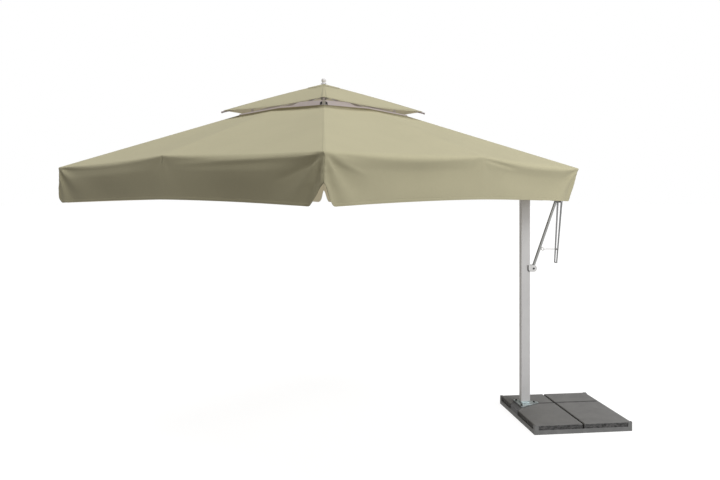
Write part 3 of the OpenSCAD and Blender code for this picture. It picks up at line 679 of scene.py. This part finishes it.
def gore(k):
    """One canopy panel with its valance, in two halves that meet on the rib and part at the corner's slit."""
    index, points, uvs, stitches_and_seam_shade, faces = {}, [], [], [], []
    half = columns(k)
    for side in (-1, 1):
        grid = []
        for x in half:
            d = side * max(x, 1e-7)
            column, marks = profile(k, d)
            length, line = 0.0, []
            for i, p in enumerate(column):
                if i:
                    length += (p - column[i - 1]).length
                key = (round(p.x, 5), round(p.y, 5), round(p.z, 5))
                if key not in index:
                    index[key] = len(points)
                    points.append(to_row(k, p))
                    uvs.append((d, length))
                    on_hip = k % 2 == 0 and abs(x - 0.010) < 0.003 and i < HIP_STITCH_END
                    # Full marks on the sewn seams below the eave: stitching, and painted shade of the drawn-in
                    # seam.
                    sewn = k % 2 == 0 or (k == LEFT_FACE and i < SHORT_SEAM_END)
                    on_shaded_seam = sewn and x < 0.005 and i >= FALL_START
                    stitches_and_seam_shade.append(max(marks[i] * 0.55, 0.5 if on_hip else 0.0, 1.0 if on_shaded_seam else 0.0))
                line.append(index[key])
            grid.append(line)
        for j in range(len(half) - 1):
            for i in range(len(grid[j]) - 1):
                centre = points[grid[j][i]].lerp(points[grid[j + 1][i + 1]], 0.5)
                in_slit = k == BOOM_CORNER and side == 1 and centre.z < BOOM_SLIT_Z
                if in_slit and abs((half[j] + half[j + 1]) / 2 - BOOM_SLIT_AT) < BOOM_SLIT_HALF:
                    continue
                quad = [grid[j][i], grid[j][i + 1], grid[j + 1][i + 1], grid[j + 1][i]]
                quad = list(dict.fromkeys(quad))  # points that fall together are one
                if len(quad) > 2:
                    faces.append(quad[::-1] if side == -1 else quad)
    name = f"canvas_{k + 1}"
    o = thicken(mesh_object(name, points, faces, CANVAS, uvs, stitches_and_seam_shade), CLOTH_T, GLOWING_LINING)
    finish_gore(o, f"rib_arm_{k + 1}", f"gore_{k + 1}")
    return o


def finish_gore(o, body, cad_node):
    """Rides on the rib and may stand for a CAD shell."""
    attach(o, body)
    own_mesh(o)
    if cad_node:
        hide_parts(cad_node)


def vent_band(k):
    """A strip of webbing along the vent's edge on gore k: low, but tall beside the front and back corners."""
    half = [GORE_HALF * i / 10 for i in range(11)]
    points, faces, uvs = [], [], []
    line = [-x for x in reversed(half[1:])] + half
    for d in line:
        base = roof_point(k, d if d else 1e-7, 0.0)
        out = outward(k, d if d else 1e-7)
        tall = nearest_corner(k, d) in (BACK_CORNER, FRONT_CORNER)
        near = from_corner(k, d) * VENT_REACH / HALF_DIAG if tall else 1.0
        rise = lerp(BAND_TALL, BAND_LOW, smooth(near, 0.30, 0.42))
        for lift, step in ((-0.006, 0.003), (0.004, 0.001), (rise * 0.8, -0.004), (rise, -0.010)):
            points.append(to_row(k, base + out * step + Vector((0, 0, lift))))
            uvs.append((d, lift))
    for j in range(len(line) - 1):
        for i in range(3):
            a = j * 4 + i
            faces.append([a, a + 4, a + 5, a + 1])
    o = thicken(mesh_object(f"vent_band_{k + 1}", points, faces, WEBBING, uvs), BAND_T)
    finish_gore(o, f"rib_arm_{k + 1}", None)
    return o


def cap_height(r):
    """The cap's height where its level square reaches r from the pole."""
    curve = (CAP_PEAK_Z - CAP_SLOPE * CAP_REACH - CAP_EDGE_Z) / CAP_REACH**2
    return CAP_PEAK_Z - CAP_SLOPE * r - curve * r * r


def cap_gore(k):
    """One quarter of the vent cap, centred on its corner, with a turned hem."""
    rows, cols = 22, 24
    hem = [0.978, 0.990, 1.0]
    points, uvs, stitches_and_seam_shade, faces = [], [], [], []
    for row in range(rows + 1 + len(hem)):
        for j in range(-cols, cols + 1):
            v = math.copysign((abs(j) / cols) ** 1.3, j) if j else 0.0
            inner = CAP_INNER / (CAP_REACH * (1 - abs(v) / 2))
            t = hem[row - rows - 1] if row > rows else lerp(inner, CAP_HEM, row / rows)
            s = math.sin(math.pi * abs(v) / 2)
            r = CAP_REACH * t
            p = Vector((r * (1 - abs(v) / 2), r * v / 2, cap_height(r)))
            p.z -= 0.020 * s * t**2
            p.x -= 0.014 * s * t**3
            if row > rows:
                p.z += CAP_HEM_LIFT
            points.append(to_row(k, p))
            uvs.append((p.y, r))
            stitches_and_seam_shade.append(1.0 if row == rows or abs(j) == 2 else 0.0)
    width = 2 * cols + 1
    for i in range(rows + len(hem)):
        for j in range(width - 1):
            a = i * width + j
            faces.append([a, a + width, a + width + 1, a + 1])
    o = thicken(mesh_object(f"cap_canvas_{k + 1}", points, faces, CANVAS, uvs, stitches_and_seam_shade), CLOTH_T, GLOWING_LINING)
    finish_gore(o, f"cap_arm_{k + 1}", f"cap_gore_{k + 1}")
    return o


def cap_patch():
    """The round patch sewn over the four cap panels under the finial."""
    rings, segments = 6, 48
    points, faces = [], []
    for i in range(rings + 1):
        r = lerp(0.030, PATCH_RADIUS, i / rings)
        for j in range(segments):
            a = 2 * math.pi * j / segments
            x, y = r * math.cos(a), r * math.sin(a)
            points.append(to_row(0, (x, y, cap_height(abs(x) + abs(y)) + 0.003)))
    for i in range(rings):
        for j in range(segments):
            a, b = i * segments + j, i * segments + (j + 1) % segments
            faces.append([a, a + segments, b + segments, b])
    uvs = [(p.x, p.y) for p in points]
    o = thicken(mesh_object("cap_patch", points, faces, CANVAS, uvs), CLOTH_T)
    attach(o, "boom_arm")
    return o


def prism(name, outline, thickness, place, material):
    """A flat-faced prism: outline in the first two axes of place's frame, thickness along the third."""
    n = len(outline)
    points = [place(x, z, 0.0) for x, z in outline] + [place(x, z, thickness) for x, z in outline]
    faces = [list(range(n))[::-1], list(range(n, 2 * n))]
    faces += [[i, (i + 1) % n, n + (i + 1) % n, n + i] for i in range(n)]
    o = mesh_object(name, points, faces, material)
    bm = bmesh.new()
    bm.from_mesh(o.data)
    bmesh.ops.recalc_face_normals(bm, faces=bm.faces)
    bm.to_mesh(o.data)
    bm.free()
    o.data.set_sharp_from_angle(angle=math.radians(30))
    return o


def vent_block(k):
    """The moulded block at the vent's corner that the webbing is fixed to, with a dark piece on each side that
    is painted shade beside it.
    """
    top = vent(k, 1e-7)
    outline = [(-0.013, -0.002), (0.013, -0.002), (0.010, 0.040), (-0.010, 0.040)]
    block = prism(f"vent_block_{k + 1}", outline, 0.012,
                  lambda x, z, t: to_row(k, (top.x - 0.006 + t, x, top.z + z)), WHITE_PLASTIC)
    parts = [block]
    # Dark pieces that stand for the shade on each side of the block.
    for side in (-1, 1):
        outline = [(side * 0.014, 0.004), (side * 0.034, 0.002), (side * 0.030, 0.024), (side * 0.014, 0.030)]
        shade_piece = prism(f"vent_shade_piece_{k + 1}_{'a' if side < 0 else 'b'}", outline, 0.008,
                    lambda x, z, t: to_row(k, (top.x - 0.002 - abs(x) + t, x, top.z + z)), DARK_PLASTIC)
        parts.append(shade_piece)
    for o in parts:
        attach(o, f"rib_arm_{k + 1}")


def saddle_shadow_strip():
    """A dark strip on the rear and lower rear edge of the saddle's front plate: painted shadow along that edge.
    """
    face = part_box("saddle")[0][1] - 0.0015
    outline = [
        (0.0195, 1.467), (0.0280, 1.467), (0.0280, 1.4195),
        (0.0410, 1.4080), (0.0365, 1.4005), (0.0195, 1.4155),
    ]
    o = prism("saddle_shadow_strip", outline, 0.0025, lambda x, z, t: Vector((x, face + t, z)), DARK_PLASTIC)
    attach(o, "saddle_block")


def make_canopy():
    for k in range(8):
        panel = gore(k)
        band = vent_band(k)
    for k in (BACK_CORNER, FRONT_CORNER):
        vent_block(k)
    for k in (0, 2, 4, 6):
        panel = cap_gore(k)
    patch = cap_patch()


# ---- camera, lights and stage ----


def make_camera():
    data = bpy.data.cameras.new("camera")
    camera = bpy.data.objects.new("camera", data)
    bpy.context.scene.collection.objects.link(camera)
    camera.location = CAMERA_AT
    camera.rotation_euler = Vector(CAMERA_TOWARDS).to_track_quat("-Z", "Y").to_euler()
    data.lens = 34.6
    data.sensor_width = 36
    data.shift_y = -0.0605
    bpy.context.scene.camera = camera


def sun(name, towards, power, spread):
    """A white sun in the direction towards, with its spread in degrees."""
    data = bpy.data.lights.new(name, "SUN")
    data.energy = power
    data.angle = math.radians(spread)
    o = bpy.data.objects.new(name, data)
    o.rotation_euler = Vector(towards).to_track_quat("Z", "Y").to_euler()
    bpy.context.scene.collection.objects.link(o)


def lamp():
    """A lamp off to the right that lights the near end of the right face less than its far end."""
    data = bpy.data.lights.new("lamp", "AREA")
    data.energy = LAMP_POWER
    data.size = 1.0
    o = bpy.data.objects.new("lamp", data)
    o.location = LAMP_AT
    o.rotation_euler = (Vector(LAMP_AT) - Vector(LAMP_AIM)).to_track_quat("Z", "Y").to_euler()
    o.visible_camera = False
    bpy.context.scene.collection.objects.link(o)


def make_world(lighting, backdrop):
    """Even, slightly warm light on the object, and a white backdrop that only the camera sees."""
    world = bpy.data.worlds.new("world")
    bpy.context.scene.world = world
    world.use_nodes = True
    tree = world.node_tree
    light = tree.nodes["Background"]
    light.inputs["Color"].default_value = (1.0, 0.945, 0.88, 1)
    light.inputs["Strength"].default_value = lighting
    seen = node(tree, "ShaderNodeBackground", Strength=backdrop)
    seen.inputs["Color"].default_value = (1, 1, 1, 1)
    mix = tree.nodes.new("ShaderNodeMixShader")
    rays = tree.nodes.new("ShaderNodeLightPath")
    tree.links.new(rays.outputs["Is Camera Ray"], mix.inputs["Fac"])
    tree.links.new(light.outputs[0], mix.inputs[1])
    tree.links.new(seen.outputs[0], mix.inputs[2])
    tree.links.new(mix.outputs[0], tree.nodes["World Output"].inputs["Surface"])


def make_floor():
    """A pale floor that takes a faint shadow and throws no light back up."""
    centre = (CAD_LOW + CAD_HIGH) / 2
    bpy.ops.mesh.primitive_plane_add(size=300, location=(centre.x, centre.y, CAD_LOW.z))
    floor = bpy.context.object
    floor.name = "floor"
    floor.visible_diffuse = False
    mat, _, shader = principled("floor", (0.2, 0.2, 0.2), 1.0, spec=0.0)
    shader.inputs["Emission Color"].default_value = (1, 1, 1, 1)
    shader.inputs["Emission Strength"].default_value = 0.90
    floor.data.materials.append(mat)


def make_studio():
    make_world(AMBIENT, 1.0)
    sun("key", KEY_TOWARDS, KEY_POWER, KEY_SPREAD)
    sun("top", (0, 0, 1), TOP_POWER, TOP_SPREAD)
    lamp()
    make_floor()
    bpy.context.scene.view_settings.view_transform = "Standard"


make_camera()
make_canopy()
saddle_shadow_strip()
make_studio()
